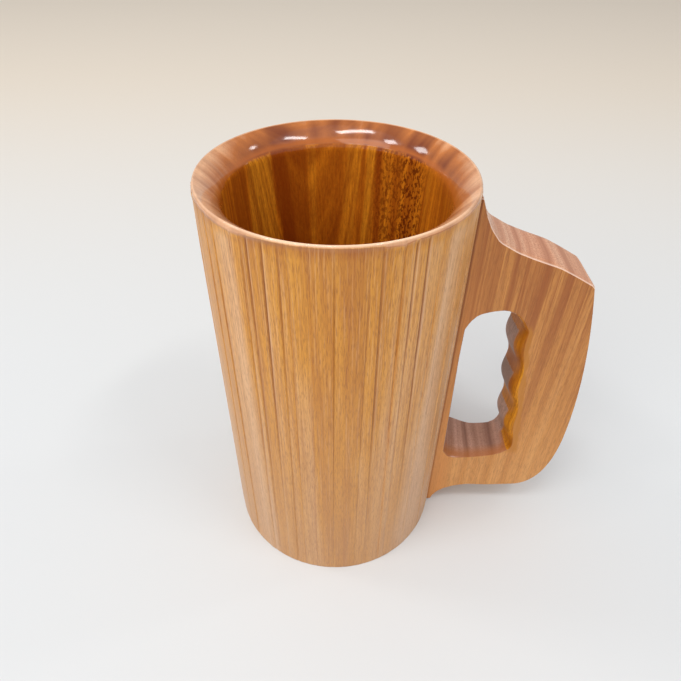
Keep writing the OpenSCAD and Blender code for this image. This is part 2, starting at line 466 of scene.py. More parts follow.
@dataclass(frozen=True)
class Wood:
    """A wood of one block, with rings round an upright pith and pores along the grain.

    Attributes:
        name: Name of the material.
        pale: Colour of the palest bands.
        mid: Colour of the common wood.
        dark: Colour of the late wood.
        pore: Colour inside pores and tool lines.
        pith_mm: Place of the pith, level with the base.
        lean: Sideways drift of the grain for each unit of height, along X and Y.
        band_mm: Width of a broad band.
        ring_mm: Width of a growth ring.
        wander_mm: How far rings wander along the grain.
        figure: How much the rings show.
        pores: How much the pores show.
        streaks: How much the fine dark streaks along the grain show.
        hairs: How much the pale lines between them show.
        flecks: How dark the short flecks are where the attribute "fleck" has them.
        line_reach: How dark the attribute "line" makes the surface.
        tone_reach: How much the attribute "tone" moves the surface to pale or dark.
        fade: How the wood is painted paler and plainer going down, as painted light from the floor's
            bounce, if it is.
        glue: Glued joint that shows on the face, if any.
        seep: Lacquer that ran out over the face, if any.
        washes: Attributes, each with the colour that it mixes in and how much.
        finish: How the surface was finished.
    """

    name: str
    pale: str
    mid: str
    dark: str
    pore: str
    pith_mm: Point2
    lean: Point2 = (0.0, 0.0)
    band_mm: float = 9.0
    ring_mm: float = 2.0
    wander_mm: float = 5.0
    figure: float = 0.3
    pores: float = 0.3
    streaks: float = 0.35
    hairs: float = 0.0
    flecks: float = 0.0
    line_reach: float = 0.0
    tone_reach: float = 0.0
    fade: Fade | None = None
    glue: Glue | None = None
    seep: Seep | None = None
    washes: tuple[tuple[str, str, float], ...] = ()
    finish: Finish = Finish.SANDED

    def make(self) -> Look:
        """Builds the material.

        Returns:
            The finished material.
        """
        material = bpy.data.materials.new(self.name)
        material.use_nodes = True
        WoodNodes(self, material.node_tree).build()
        return material


class WoodNodes:
    """The nodes of one wood's material."""

    MID_TONE = 0.45
    # Change of the pattern for each millimetre, across and along the grain
    WANDER = (0.03, 0.03, 0.011)
    RIPPLE = (0.25, 0.25, 0.06)
    PORE_DEPTH = 0.3
    RELIEF_MM = 0.25
    # Noise between these spreads over all the tones
    SPREAD = (0.3, 0.7)

    def __init__(self, wood: Wood, tree: Tree) -> None:
        """Clears the tree and sets the grain upright.

        Args:
            wood: The wood.
            tree: Its material's tree.
        """
        tree.nodes.clear()
        self.wood, self.tree = wood, tree
        start = add_node(tree, "TexCoord", out="Object")
        place = add_node(tree, "VectorMath", {0: start, "Scale": 1 / MM}, operation="SCALE")
        self.height = add_node(tree, "SeparateXYZ", {0: place}, out="Z")
        lean = (-wood.lean[0], -wood.lean[1], 0.0)
        shift = add_node(tree, "VectorMath", {0: lean, "Scale": self.height}, operation="SCALE")
        self.place = add_node(tree, "VectorMath", {0: place, 1: shift}, operation="ADD")
        self.across = add_node(tree, "SeparateXYZ", {0: self.place}, out="X")

    def build(self) -> None:
        """Adds all the nodes."""
        pores = self.marks(PORES)
        self.surface(self.colour(pores), pores)

    def mixed(self, colour: Socket, share: Socket, reach: float, other: str) -> Socket:
        """Mixes another colour in where a share has it, at most up to a reach.

        Args:
            colour: The colour so far.
            share: Where the other colour belongs, from 0 to 1.
            reach: How much of it shows at most.
            other: The other colour.

        Returns:
            The mixed colour.
        """
        amount = add_node(self.tree, "Math", {0: share, 1: reach}, operation="MULTIPLY",
                          use_clamp=True)
        return add_node(self.tree, "Mix", {0: amount, 6: colour, 7: linear(other)}, out=2,
                        data_type="RGBA")

    def marks(self, marks: Marks) -> Socket:
        """Adds marks that run along the grain.

        Args:
            marks: What the marks look like.

        Returns:
            Their strength, from 0 to 1.
        """
        scale = (1 / marks.width_mm, 1 / marks.width_mm, 1 / marks.length_mm)
        grain = add_node(self.tree, "Mapping", {0: self.place, "Scale": scale})
        noise = add_node(self.tree, "TexNoise", {
            "Vector": grain, "Scale": 1.0, "Detail": marks.detail, "Roughness": 0.55})
        return add_node(self.tree, "MapRange", {"Value": noise, "From Min": marks.low,
                        "From Max": marks.high}, interpolation_type="SMOOTHSTEP")

    def growth(self) -> list[Socket]:
        """Adds the growth of the tree round its pith.

        Returns:
            The broad bands and the fine rings, each from 0 to 1.
        """
        wood, tree = self.wood, self.tree
        slow = add_node(tree, "Mapping", {0: self.place, "Scale": self.WANDER})
        warp = add_node(tree, "TexNoise", {
            "Vector": slow, "Scale": 1.0, "Detail": 2.0, "Roughness": 0.45}, out="Color")
        wander = self.place
        for operation, inputs in (
                ("SUBTRACT", {0: warp, 1: (0.5, 0.5, 0.5)}), ("SCALE", {"Scale": 2 * wood.wander_mm}),
                ("ADD", {1: self.place}), ("SUBTRACT", {1: (*wood.pith_mm, 0.0)}),
                ("MULTIPLY", {1: (1.0, 1.0, 0.0)})):
            wander = add_node(tree, "VectorMath", {0: wander, **inputs}, operation=operation)
        reach = add_node(tree, "VectorMath", {0: wander}, out="Value", operation="LENGTH")
        found = []
        for width, detail in ((wood.band_mm, 2.0), (wood.ring_mm, 2.5)):
            count = add_node(tree, "Math", {0: reach, 1: width}, operation="DIVIDE")
            noise = add_node(tree, "TexNoise", {"W": count, "Scale": 1.0, "Detail": detail,
                                                "Roughness": 0.6}, noise_dimensions="1D")
            found.append(add_node(tree, "MapRange", {
                "Value": noise, "From Min": self.SPREAD[0], "From Max": self.SPREAD[1]}))
        return found

    def faded(self, fade: Fade, tone: Socket, ring: Socket, streaks: Socket) -> list[Socket]:
        """Fades the wood going down, as painted light from the floor's bounce.

        Args:
            fade: How it changes.
            tone: How dark it is, from 0 to 1.
            ring: Its rings.
            streaks: Its streaks.

        Returns:
            Tone, rings and streaks as they change going down.
        """
        tree = self.tree
        high, clear = (add_node(tree, "MapRange", {
            "Value": self.height, "From Min": start, "From Max": end, "To Min": least})
            for (start, end), least in ((fade.tone_mm, 0.0), (fade.clear_mm, fade.least)))
        reach = add_node(tree, "MapRange", {
            "Value": high, "To Min": fade.tone_reach[0], "To Max": fade.tone_reach[1]})
        tone = add_node(tree, "Mix", {0: reach, 2: tone, 3: high}, data_type="FLOAT")
        return [tone] + [add_node(tree, "Math", {0: s, 1: clear}, operation="MULTIPLY")
                         for s in (ring, streaks)]

    def seeped(self, seep: Seep, colour: Socket) -> Socket:
        """Adds the lacquer that ran out, its border a little uneven.

        Args:
            seep: The lacquer.
            colour: The colour so far.

        Returns:
            The colour with the lacquer in it.
        """
        tree = self.tree
        uneven = add_node(tree, "TexNoise", {"W": self.height, "Scale": seep.wave, "Detail": 2.0},
                          noise_dimensions="1D")
        at = self.across
        for value, factor in ((self.height, seep.lean), (uneven, seep.uneven_mm)):
            at = add_node(tree, "Math", {0: value, 1: factor, 2: at}, operation="MULTIPLY_ADD")
        full, gone = seep.border_mm
        share = add_node(tree, "Math", {0: self.across, 1: seep.inner_mm}, operation="GREATER_THAN")
        for value, start, end, kind in (
                (at, seep.at_mm + gone, seep.at_mm + full, "SMOOTHSTEP"),
                (self.height, seep.low_mm - seep.end_mm, seep.low_mm, "LINEAR"),
                (self.height, seep.high_mm + seep.end_mm, seep.high_mm, "LINEAR")):
            within = add_node(tree, "MapRange", {"Value": value, "From Min": start, "From Max": end},
                              interpolation_type=kind)
            share = add_node(tree, "Math", {0: share, 1: within}, operation="MULTIPLY")
        return self.mixed(colour, share, seep.reach, seep.colour)

    def colour(self, pores: Socket) -> Socket:
        """Adds the wood's colour, layer by layer.

        Args:
            pores: Where the pores are, from 0 to 1.

        Returns:
            The colour.
        """
        wood, tree = self.wood, self.tree
        tone, ring = self.growth()
        streaks = self.marks(STREAKS)
        reaches = {"tone": wood.tone_reach, "fleck": wood.flecks, "line": wood.line_reach}
        reaches.update((name, reach) for name, _, reach in wood.washes)
        told = {name: add_node(tree, "Attribute", out="Fac", attribute_name=name)
                for name, reach in reaches.items() if reach}
        if wood.tone_reach:
            tone = add_node(tree, "Mix", {0: wood.tone_reach, 2: tone, 3: told["tone"]},
                            data_type="FLOAT")
        if wood.fade:
            tone, ring, streaks = self.faded(wood.fade, tone, ring, streaks)
        colour = add_node(tree, "ValToRGB", {0: tone})
        steps = colour.node.color_ramp.elements
        steps.new(self.MID_TONE)
        for step, at, shade in zip(steps, (0.0, self.MID_TONE, 1.0), (wood.pale, wood.mid, wood.dark)):
            step.position, step.color = at, linear(shade)
        layers = [(ring, wood.figure, wood.dark), (streaks, wood.streaks, wood.dark)]
        if wood.hairs:
            layers.append((self.marks(HAIRS), wood.hairs, wood.pale))
        layers.append((pores, wood.pores, wood.pore))
        if wood.flecks:
            flecks = add_node(tree, "Math", {0: told["fleck"], 1: self.marks(FLECKS)},
                              operation="MULTIPLY")
            layers.append((flecks, wood.flecks, wood.pore))
        if wood.line_reach:
            layers.append((told["line"], wood.line_reach, wood.pore))
        if wood.glue:
            full, gone = wood.glue.border_mm
            line = add_node(tree, "MapRange", {
                "Value": self.across, "From Min": wood.glue.at_mm + gone,
                "From Max": wood.glue.at_mm + full}, interpolation_type="SMOOTHSTEP")
            layers.append((line, wood.glue.reach, wood.glue.colour))
        for share, reach, other in layers:
            colour = self.mixed(colour, share, reach, other)
        if wood.seep:
            colour = self.seeped(wood.seep, colour)
        for name, wash, reach in wood.washes:
            colour = self.mixed(colour, told[name], reach, wash)
        return colour

    def surface(self, colour: Socket, pores: Socket) -> None:
        """Adds the lacquered surface and its fine relief.

        Args:
            colour: The wood's colour.
            pores: Where the pores are, from 0 to 1.
        """
        sheen, tree = SHEENS[self.wood.finish], self.tree
        ripple = add_node(tree, "Mapping", {0: self.place, "Scale": self.RIPPLE})
        soft = add_node(tree, "TexNoise", {"Vector": ripple, "Scale": 1.0, "Detail": 1.0})
        sunk = add_node(tree, "Math", {0: pores, 1: -self.PORE_DEPTH, 2: soft},
                        operation="MULTIPLY_ADD")
        bump = add_node(tree, "Bump", {"Height": sunk, "Strength": sheen.relief,
                                       "Distance": self.RELIEF_MM * MM})
        shader = add_node(tree, "BsdfPrincipled", {
            "Base Color": colour, "Normal": bump, "IOR": 1.5, "Roughness": sheen.rough,
            "Specular IOR Level": sheen.specular, "Coat Weight": sheen.coat,
            "Coat Roughness": sheen.coat_rough, "Coat IOR": 1.5})
        add_node(tree, "OutputMaterial", {"Surface": shader})


# Colours that the lip's edges take, so that its finishes run into each other. The rim's colour is also
# a painted highlight: the pale peach line where the rolled outer edge catches the light
RIM_HIGHLIGHT_WASH = ("rim", "#F8D2AE", 0.85)
THROAT_WASH = ("throat", "#C46C28", 0.8)
# Teak, planed and thinly lacquered: golden tan with a silky, half-dull surface
PLANED_TEAK = Wood(
    name="teak_planed_satin", pale="#F2C89C", mid="#E09A2E", dark="#A0520A", pore="#80380A",
    pith_mm=(-30.0, 115.0), lean=(-0.006, 0.02), ring_mm=1.7, wander_mm=3.0, figure=0.14,
    pores=0.4, streaks=0.34, hairs=0.2, line_reach=0.75, tone_reach=0.75,
    # The foot wash is painted light: the lower wall dulled and greyed by the floor's bounce
    washes=(("foot", "#B4865E", 0.5), RIM_HIGHLIGHT_WASH), finish=Finish.PLANED)
# The same teak at the lip, turned and flooded with clear lacquer: wet red-brown
LIP_TEAK = Wood(
    name="teak_lip_lacquer", pale="#F2BA8C", mid="#C67636", dark="#7A3816", pore="#5E2C10",
    pith_mm=(-30.0, 115.0), lean=(-0.006, 0.02), band_mm=6.0, ring_mm=4.5, wander_mm=4.0,
    figure=0.36, pores=0.12, streaks=0.1, tone_reach=0.8, washes=(RIM_HIGHLIGHT_WASH, THROAT_WASH),
    finish=Finish.TURNED)
# The same teak down the bore, where the lacquer lies thickest: clear amber. Its colours, paler and
# brighter than the lip's, are partly that amber and partly painted light that lifts the shade deep in
# the bore
BORE_TEAK = Wood(
    name="teak_bore_lacquer_painted_light", pale="#FFB02E", mid="#E4881C", dark="#8E3C0A", pore="#602004",
    pith_mm=(-30.0, 115.0), lean=(0.01, -0.09), band_mm=7.0, ring_mm=1.9, wander_mm=3.0,
    figure=0.6, pores=0.25, flecks=0.85, tone_reach=0.86, washes=(THROAT_WASH,),
    finish=Finish.TURNED)
# Teak plank, sawn, shaped and sanded: redder, with upright stripes
PLANK_TEAK = Wood(
    name="teak_plank_satin", pale="#E0A25E", mid="#D08E48", dark="#9C5624", pore="#74401A",
    pith_mm=(-160.0, 22.0), band_mm=4.5, ring_mm=1.6, wander_mm=2.5, figure=0.42, streaks=0.65,
    fade=Fade(), glue=Glue(44.08), seep=Seep(84.9, 0.128, 38.0, 106.0, 62.0, "#BC7822", 0.8),
    washes=(("spine", "#DE9048", 0.5),))
# The plank's edge above the grip, cut across the grain: pinkish and pale under its lacquer, partly as
# end grain and partly painted reflection of the bright ceiling on these upward faces
EDGE_TEAK = replace(
    PLANK_TEAK, name="teak_plank_edge", pale="#F2BE98", mid="#E2A27A", dark="#B87650", fade=None,
    # The "rim" wash is a painted highlight: the thin bright line where the top edge's roll catches the
    # light
    seep=None, washes=(("rim", "#FFE6D2", 0.75),), finish=Finish.FLOODED)
# The plank inside the hand opening, cut across the grain and half-dull: greyish brown, partly its own
# colour and partly painted reflection of the bright room
HOLLOW_TEAK = replace(
    EDGE_TEAK, name="teak_plank_opening", pale="#D4AC98", mid="#C09A86", dark="#967A6A",
    washes=(("amber", "#C8801E", 0.7),), finish=Finish.SOAKED)
# The opening's floor, which faces up to the light: its greyish pink is partly its own colour and
# partly painted reflection of the sky
SILL_TEAK = replace(
    EDGE_TEAK, name="teak_plank_sill", pale="#CEA08A", mid="#B88A72", dark="#8C604C",
    figure=0.25, streaks=0.3, washes=(("amber", "#B0682C", 0.8),))
# The rolled edge along the finger hollows, where thick lacquer ran together: amber, partly that
# lacquer and partly a painted glow of the light bounced in the hollows
AMBER_TEAK = replace(
    HOLLOW_TEAK, name="teak_plank_lacquer_painted_glow", pale="#EEA42C", mid="#DA8C1C", dark="#A86010",
    washes=())
# Teak disc, turned: plainer, its grain upright like the body's
DISC_TEAK = Wood(
    name="teak_disc_lacquer", pale="#C98A48", mid="#B57639", dark="#8C5526", pore="#6A3C18",
    pith_mm=(70.0, -30.0), band_mm=6.0, figure=0.45, pores=0.4)
# Beech dowels: pale, even and close-grained
DOWEL_BEECH = Wood(
    name="beech_dowel", pale="#E2BE93", mid="#D5AB7C", dark="#BE9162", pore="#9C7148",
    pith_mm=(60.0, 40.0), band_mm=3.0, ring_mm=1.2)


# How far under the rim the plane left the work, for the flats that stop short of it
RUN_OUTS: Stops = {7: 1.7, 17: 2.2, 22: 2.4, 30: 3.0}
# Depth of the planing at the rim, by the angle round from the handle's side
RIM_CUTS: Stops = {
    0: 0.3, 60: 0.5, 120: 0.4, 180: 0.5, 216: 0.5, 222: 0.2, 230: 0.2, 238: 0.45, 282: 0.5,
    294: 0.3, 296: 0.5, 320: 0.4, 340: 0.2, 360: 0.3}
# Height of the rim's rolled edge, as a share of the turned one, in the same way
RIM_FALLS: Stops = {
    0: 1.0, 216: 0.95, 222: 1.1, 230: 1.05, 238: 0.8, 244: 0.62, 270: 0.55, 282: 0.6, 294: 1.1,
    296: 0.8, 320: 0.9, 360: 1.0}
# How dark the line under the rim's rolled edge is, in the same way
RIM_LINES: Stops = {
    0: 0.0, 180: 0.1, 206: 0.3, 214: 0.8, 232: 0.75, 238: 0.9, 252: 0.8, 262: 0.35, 284: 0.45,
    294: 0.2, 315: 0.3, 330: 0.0, 360: 0.0}
# How brightly the painted highlight on the rim's rolled edge shows, in the same way
RIM_HIGHLIGHTS: Stops = {
    0: 0.5, 20: 0.4, 180: 0.4, 205: 0.5, 225: 0.6, 240: 0.9, 298: 1.0, 312: 0.7, 325: 0.4,
    345: 0.25, 360: 0.4}
# Darkness of the lip's wood, in the same way
LIP_TONES: Stops = {
    0: 0.3, 5: 0.45, 9: 0.25, 13: 0.5, 17: 0.35, 22: 0.75, 26: 0.65, 29: 0.35, 36: 0.45, 39: 0.95,
    49: 1.0, 52: 0.6, 55: 0.85, 58: 1.0, 64: 0.95, 67: 0.65, 71: 0.6, 74: 0.95, 78: 0.5, 82: 0.95,
    87: 0.6, 91: 0.9, 97: 0.5, 102: 0.8, 106: 0.45, 112: 0.65, 117: 0.95, 126: 1.0, 129: 0.75,
    136: 0.7, 140: 0.45, 148: 0.45, 156: 0.26, 162: 0.24, 168: 0.06, 173: 0.14, 179: 0.0,
    185: 0.08, 191: 0.0, 300: 0.0, 338: 0.1, 346: 0.3, 352: 0.1, 360: 0.2}
# Darkness of the wood inside the bore, in the same way
BORE_TONES: Stops = {
    0: 0.6, 8: 0.6, 14: 0.75, 18: 0.42, 31: 0.42, 34: 0.6, 39: 0.35, 44: 0.7, 49: 0.4, 54: 0.85,
    58: 0.35, 62: 0.35, 64: 0.9, 66: 0.9, 68: 0.25, 72: 0.2, 74: 0.9, 76: 0.25, 83: 0.3, 86: 0.7,
    93: 0.6, 101: 0.55, 103: 0.3, 107: 0.35, 109: 0.8, 119: 0.8, 122: 1.0, 129: 1.0, 131: 0.1,
    147: 0.05, 150: 0.82, 161: 0.78, 165: 0.5, 178: 0.45, 190: 0.6, 215: 0.3, 240: 0.7, 275: 0.4,
    300: 0.75, 330: 0.35, 360: 0.5}


@dataclass
class PlanedBody:
    """The bored and planed block, with its lip and the rabbet for its base.

    Lengths are in millimetres, and angles in degrees round from the handle's side. The width and
    line shares go by the flats, clockwise from the handle's seat, and the cut shares by their ends.
    """

    radius: float = 45.2
    height: float = 162.5
    wall: float = 8.2
    lip_bevel_w: float = 1.0
    lip_bevel_h: float = 1.3
    lip_drop: float = 7.0
    lip_swell: float = 0.6
    plane_cut: float = 0.45
    line_w: float = 0.7
    line_d: float = 0.5
    land_w: float = 1.2
    edge_round: float = 0.35
    foot_round: float = 0.35
    disc_t: float = 10.0
    rabbet_wall: float = 4.0
    handle_t: float = 20.0
    seat_top: float = 158.27
    dowel_in_body: float = 4.3
    dowel_r: float = 4.1
    # Bow of a flat, how far the plane wandered, and how it left the work at the rim
    bow_share: float = 0.022
    wander_deg: float = 0.9
    run_out_h: float = 1.3
    run_past: float = 2.0
    # Where the planing turns to its depth at the rim, and at the foot
    rim_zone: float = 22.0
    foot_zone: float = 4.0
    # The tool lines stop under the rim, and reach the foot with this share of their depth
    line_stop: float = 1.2
    foot_line_share: float = 0.12
    # The edge between the lip and the bore
    throat_share: float = 0.78
    throat_drop: float = 2.2
    seam_drop: float = 0.7
    seam_rise: float = 1.3
    # Dark rolled edge of the rim, the darker front (partly the heart of the wood, partly painted
    # light: the sides are left paler as if by the lacquer's sheen), its flat-sawn side and its waves
    dark_roll_deg: float = 223.0
    heart_and_sheen_deg: float = 270.0
    heart_and_sheen_w_deg: float = 26.0
    flat_sawn_deg: float = 104.0
    flat_sawn_w_deg: float = 34.0
    waves_deg: Point2 = (43.0, 58.0)
    # Rows of the mesh, up the wall, under the rim and down the bore
    wall_rows: int = 24
    rim_rows: tuple[float, ...] = (12.0, 10.2, 8.6, 7.2, 6.0, 5.0, 3.4, 2.8, 2.2)
    roll_steps: tuple[float, ...] = (0.0, 0.2, 0.4, 0.6, 0.8, 1.0)
    lip_rows: int = 16
    throat_steps: tuple[float, ...] = (0.17, 0.33, 0.5, 0.67, 0.83, 1.0)
    bore_rows: tuple[float, ...] = (1.5, 4.0, 8.0, 14.0)
    deep_rows: int = 7
    flat_columns: int = 6
    # Edges sharper than this stay sharp
    smooth_deg: float = 28.0
    width_shares: tuple[int, ...] = (
        9, 11, 11, 4, 7, 6, 4, 8, 5, 7, 5, 9, 7, 4, 6, 6, 3, 5, 10, 7, 6, 10, 8, 9)
    line_shares: tuple[float, ...] = (
        0.2, 0.3, 0.3, 0.25, 0.95, 0.9, 0.4, 0.8, 0.35, 0.15, 0.25, 0.35,
        0.5, 0.5, 0.9, 0.9, 0.75, 0.45, 0.55, 0.45, 0.5, 0.3, 0.4, 0.3)
    cut_shares: tuple[float, ...] = (0.1, 0.7, 0.3, 0.9, 0.2, 0.5, 0.8, 0.15, 0.6, 0.4, 1)

    def __post_init__(self) -> None:
        """Works out the angles and the radii that several methods share."""
        self.half_seat = math.degrees(math.asin(self.handle_t / 2 / self.radius))
        self.seat_x = self.radius * math.cos(math.radians(self.half_seat))
        self.half_land = self.half_seat + math.degrees(math.asin(self.land_w / self.radius))
        self.half_line = math.degrees(math.asin(self.line_w / 2 / self.radius))
        self.flat_count = 2 * len(self.width_shares)
        self.crest = self.radius - self.lip_bevel_w
        self.bore = self.radius - self.wall
        self.lip_foot = self.height - self.lip_drop

    def flat_deg(self, index: int, height: float) -> float:
        """Angle at which a flat starts. It drifts a little going up, as the plane wandered.

        Args:
            index: The flat.
            height: Height over the table.

        Returns:
            The angle.
        """
        shares = self.width_shares
        half, n = divmod(index, len(shares))
        sweep = TURN_DEG / 2 - self.half_land
        drift = self.wander_deg * math.sin(2.3 * index) * (height / self.height - 0.5)
        if index in (0, self.flat_count):
            drift = 0.0
        return -self.half_land - sweep * (half + sum(shares[:n]) / sum(shares)) + drift

    def planed(self, index: int, height: float) -> float:
        """How much of a flat's depth is there at a height: less where the plane ran out."""
        stop = self.height - RUN_OUTS.get(index, -self.run_past)
        return limit((stop - height) / self.run_out_h)

    def line_share(self, index: int) -> float:
        """How deep the plane's edge went after a flat, as a share."""
        return self.line_shares[index % len(self.line_shares)]

    def line_strength(self, index: int, height: float) -> float:
        """How strong the line after a flat is at a height, from 0 to 1.

        Args:
            index: The flat.
            height: Height over the table.

        Returns:
            The strength.
        """
        share = self.line_share(index)
        rise = height / self.height
        fade = 0.6 + 0.4 * math.sin(1.7 * index + (3.0 + index % 4) * rise)
        low = mix(self.foot_line_share, 1.0, limit((rise - 0.15) / 0.6))
        there = min(self.planed(index, height), self.planed(index + 1, height))
        under_rim = limit((self.height - self.line_stop - height) / self.line_stop)
        return share * limit(fade + 0.4 * share) * low * there * under_rim

    def line_half(self, index: int) -> float:
        """Half the angle that the line after a flat takes: strong lines are wider."""
        return self.half_line * (0.7 + 0.9 * self.line_share(index))

    def flat_radius(self, number: int, index: int, angle: float, height: float) -> float:
        """Radius of the planed outside at one end of a flat.

        Args:
            number: Number of the end, from which it takes its share of the cut.
            index: The flat.
            angle: Angle of the end.
            height: Height over the table.

        Returns:
            The radius.
        """
        swell = 1 + 0.3 * math.sin(0.9 * number + 3.0 * height / self.height)
        share = self.cut_shares[number % len(self.cut_shares)] * swell
        near_rim = limit((height - self.height + self.rim_zone) / (self.rim_zone - 2))
        share = mix(share, stops_at(RIM_CUTS, angle), near_rim)
        share = mix(share, 0.5, limit(1 - height / self.foot_zone))
        return self.radius - self.plane_cut * share * self.planed(index, height)

    def section(self, height: float) -> list[Point2]:
        """Outline of the planed block at a height, going clockwise from the seat's far land.

        Args:
            height: Height over the table.

        Returns:
            The outline's points, always in the same number and order.
        """
        points = []
        land = [mix(self.half_land, self.half_seat, k / 2) for k in range(3)]
        seat = [mix(self.half_seat, -self.half_seat, k / 8) for k in range(1, 8)]
        for angle in land + seat + [-a for a in reversed(land)]:
            on_seat = height < self.seat_top and abs(angle) <= self.half_seat
            radius = self.seat_x / math.cos(math.radians(angle)) if on_seat else self.radius
            points.append(polar(angle, radius))
        for i in range(self.flat_count):
            there = self.planed(i, height)
            middle = self.flat_deg(i + 1, height)
            start_deg = self.flat_deg(i, height) - (self.line_half(i - 1) if i else 0.0)
            end_deg = middle + self.line_half(i)
            end_r = self.flat_radius(3 * i + 4, i, end_deg, height)
            start = Vector(polar(start_deg, self.flat_radius(3 * i, i, start_deg, height)))
            end = Vector(polar(end_deg, end_r))
            out = Vector(polar((start_deg + end_deg) / 2, self.bow_share * (end - start).length))
            for k in range(self.flat_columns + 1):
                share = k / self.flat_columns
                point = start.lerp(end, share) + out * (4 * share * (1 - share) * there)
                points.append((point.x, point.y))
            if i == self.flat_count - 1:
                break
            half = self.line_half(i)
            next_r = self.flat_radius(3 * i + 3, i + 1, middle - half, height)
            bottom_r = min(end_r, next_r) - self.line_d * self.line_strength(i, height)
            points += [polar(middle + half * 0.45, mix(end_r, bottom_r, 0.7)),
                       polar(middle, bottom_r),
                       polar(middle - half * 0.45, mix(next_r, bottom_r, 0.7))]
        return points

    def roll_foot(self, x: float, y: float) -> float:
        """Height at which the rolled outer edge of the lip starts on the wall at a place.

        Args:
            x: Place along X.
            y: Place along Y.

        Returns:
            The height.
        """
        fall = stops_at(RIM_FALLS, math.degrees(math.atan2(y, x)))
        slope = self.lip_bevel_h / self.lip_bevel_w
        return self.height - fall * (slope * (math.hypot(x, y) - self.crest) + self.edge_round)

    def lip_point(self, share: float) -> Point2:
        """Radius and height on the lip's inner slope, at a share of the way to the bore.

        Args:
            share: Share of the way, 0 at the crest and 1 at the bore.

        Returns:
            The radius and the height.
        """
        way = (self.bore - self.crest, -self.lip_drop)
        swell = self.lip_swell * 4 * share * (1 - share) / math.hypot(*way)
        return (self.crest + way[0] * share + way[1] * swell,
                self.height + way[1] * share - way[0] * swell)

    def seam_at(self, place: Vector) -> float:
        """Height at which the lip's wood gives way to the bore's: higher at the back."""
        behind = limit(1.3 * place.y / max(1.0, math.hypot(place.x, place.y)))
        return self.lip_foot - self.seam_drop + self.seam_rise * behind

    def rings(self) -> list[list[Point3]]:
        """Rings from the foot up the outside, over the lip, down the bore and out to the foot.

        Returns:
            The rings, all with equally many points.
        """
        top = self.section(self.height)
        radii = [math.hypot(x, y) for x, y in top]
        unit = [(x / r, y / r) for (x, y), r in zip(top, radii)]
        result = []

        def planed_ring(height: float, inset: float = 0.0) -> None:
            """Adds a ring on the planed outside, or a little inside it."""
            outline = [(x, y, math.hypot(x, y)) for x, y in self.section(height)]
            result.append([(x * (r - inset) / r, y * (r - inset) / r, height) for x, y, r in outline])

        def turned_ring(radius: float, height: float) -> None:
            """Adds a round ring."""
            result.append([(ux * radius, uy * radius, height) for ux, uy in unit])

        f = self.foot_round
        for height, inset in ((0.0, f), (0.3 * f, 0.3 * f), (f, 0.0)):
            planed_ring(height, inset)
        for k in range(1, self.wall_rows + 1):
            planed_ring(mix(f, self.height - self.rim_rows[0] - 2, k / self.wall_rows))
        near_rim = [self.height - drop for drop in self.rim_rows]
        for height in sorted(near_rim + [self.seat_top - 0.01, self.seat_top]):
            planed_ring(height)
        columns = []
        for (ux, uy), r in zip(unit, radii):
            corner = (mix(r, self.crest, 0.25), self.height)
            curve = round_corner((r, self.roll_foot(ux * r, uy * r)), corner,
                                 (self.crest, self.height), self.roll_steps)
            columns.append([(ux * radius, uy * radius, height) for radius, height in curve])
        result += [list(ring) for ring in zip(*columns)]
        for k in range(1, self.lip_rows + 1):
            turned_ring(*self.lip_point(self.throat_share * k / self.lip_rows))
        low = self.lip_foot - self.throat_drop
        for point in round_corner(self.lip_point(self.throat_share), (self.bore, self.lip_foot),
                                  (self.bore, low), self.throat_steps):
            turned_ring(*point)
        for drop in self.bore_rows:
            turned_ring(self.bore, low - drop)
        for k in range(1, self.deep_rows + 1):
            turned_ring(self.bore, mix(low - self.bore_rows[-1], self.disc_t, k / self.deep_rows))
        for height in (self.disc_t, 0.0):
            turned_ring(self.radius - self.rabbet_wall, height)
        return result

    def line_at(self, place: Vector) -> float:
        """How dark the tool line at a place is: partly dark lacquer gathered in its groove, partly
        painted shade in it.

        Args:
            place: A place on the body.

        Returns:
            The darkness, from 0 to 1.
        """
        angle, radius = bearing(place)
        if abs(place.z - self.roll_foot(place.x, place.y)) < 0.03:
            return stops_at(RIM_LINES, angle)
        if radius < self.crest - 0.8 or place.z > self.height - 1:
            return 0.0
        beside = abs(abs(angle) - self.half_seat)
        # Beside the handle's seat: partly the dark joint, partly painted shade in the crease where the
        # handle meets the body
        best = 0.9 - 1.2 * beside if place.z < self.seat_top + 0.1 and beside < 0.6 else 0.0
        for i in range(self.flat_count - 1):
            away = abs(apart(angle, self.flat_deg(i + 1, place.z))) / self.line_half(i)
            share = min(1.0, limit(1 - away) + 0.2 * limit(1 - away / 4))
            if share:
                best = max(best, self.line_strength(i, place.z) * share)
        return best

    def flat_at(self, angle: float, height: float) -> tuple[int, float]:
        """Finds the flat at an angle and a height, and the share of the way across it.

        Args:
            angle: The angle.
            height: Height over the table.

        Returns:
            The flat's number and the share.
        """
        for i in range(self.flat_count):
            start, end = self.flat_deg(i, height), self.flat_deg(i + 1, height)
            share = ((start - angle) % TURN_DEG) / (start - end)
            if share < 1:
                return i, share
        return 0, 0.0

    def tone_at(self, place: Vector) -> float:
        """How dark the wood at a place is, apart from its rings, with painted light in it: the rim's
        roll pale with its painted highlight, the lip's sides paler outward, painted shade across each
        flat, a deeper front, and paler sides and foot.

        Args:
            place: A place on the body.

        Returns:
            The darkness, from 0 for the palest wood to 1 for the darkest.
        """
        angle, radius = bearing(place)
        angle %= TURN_DEG
        # The rim's rolled edge is painted pale, as part of its painted highlight
        if place.z > self.roll_foot(place.x, place.y) + 0.05 and radius > self.crest - 0.3:
            return 0.05 + 0.2 * near(angle, self.dark_roll_deg, 1.4, 18)
        if radius < self.crest - 0.2 and place.z > self.seam_at(place):
            out = limit((radius - self.bore - 2) / 4)
            aside = abs(math.cos(math.radians(angle)))
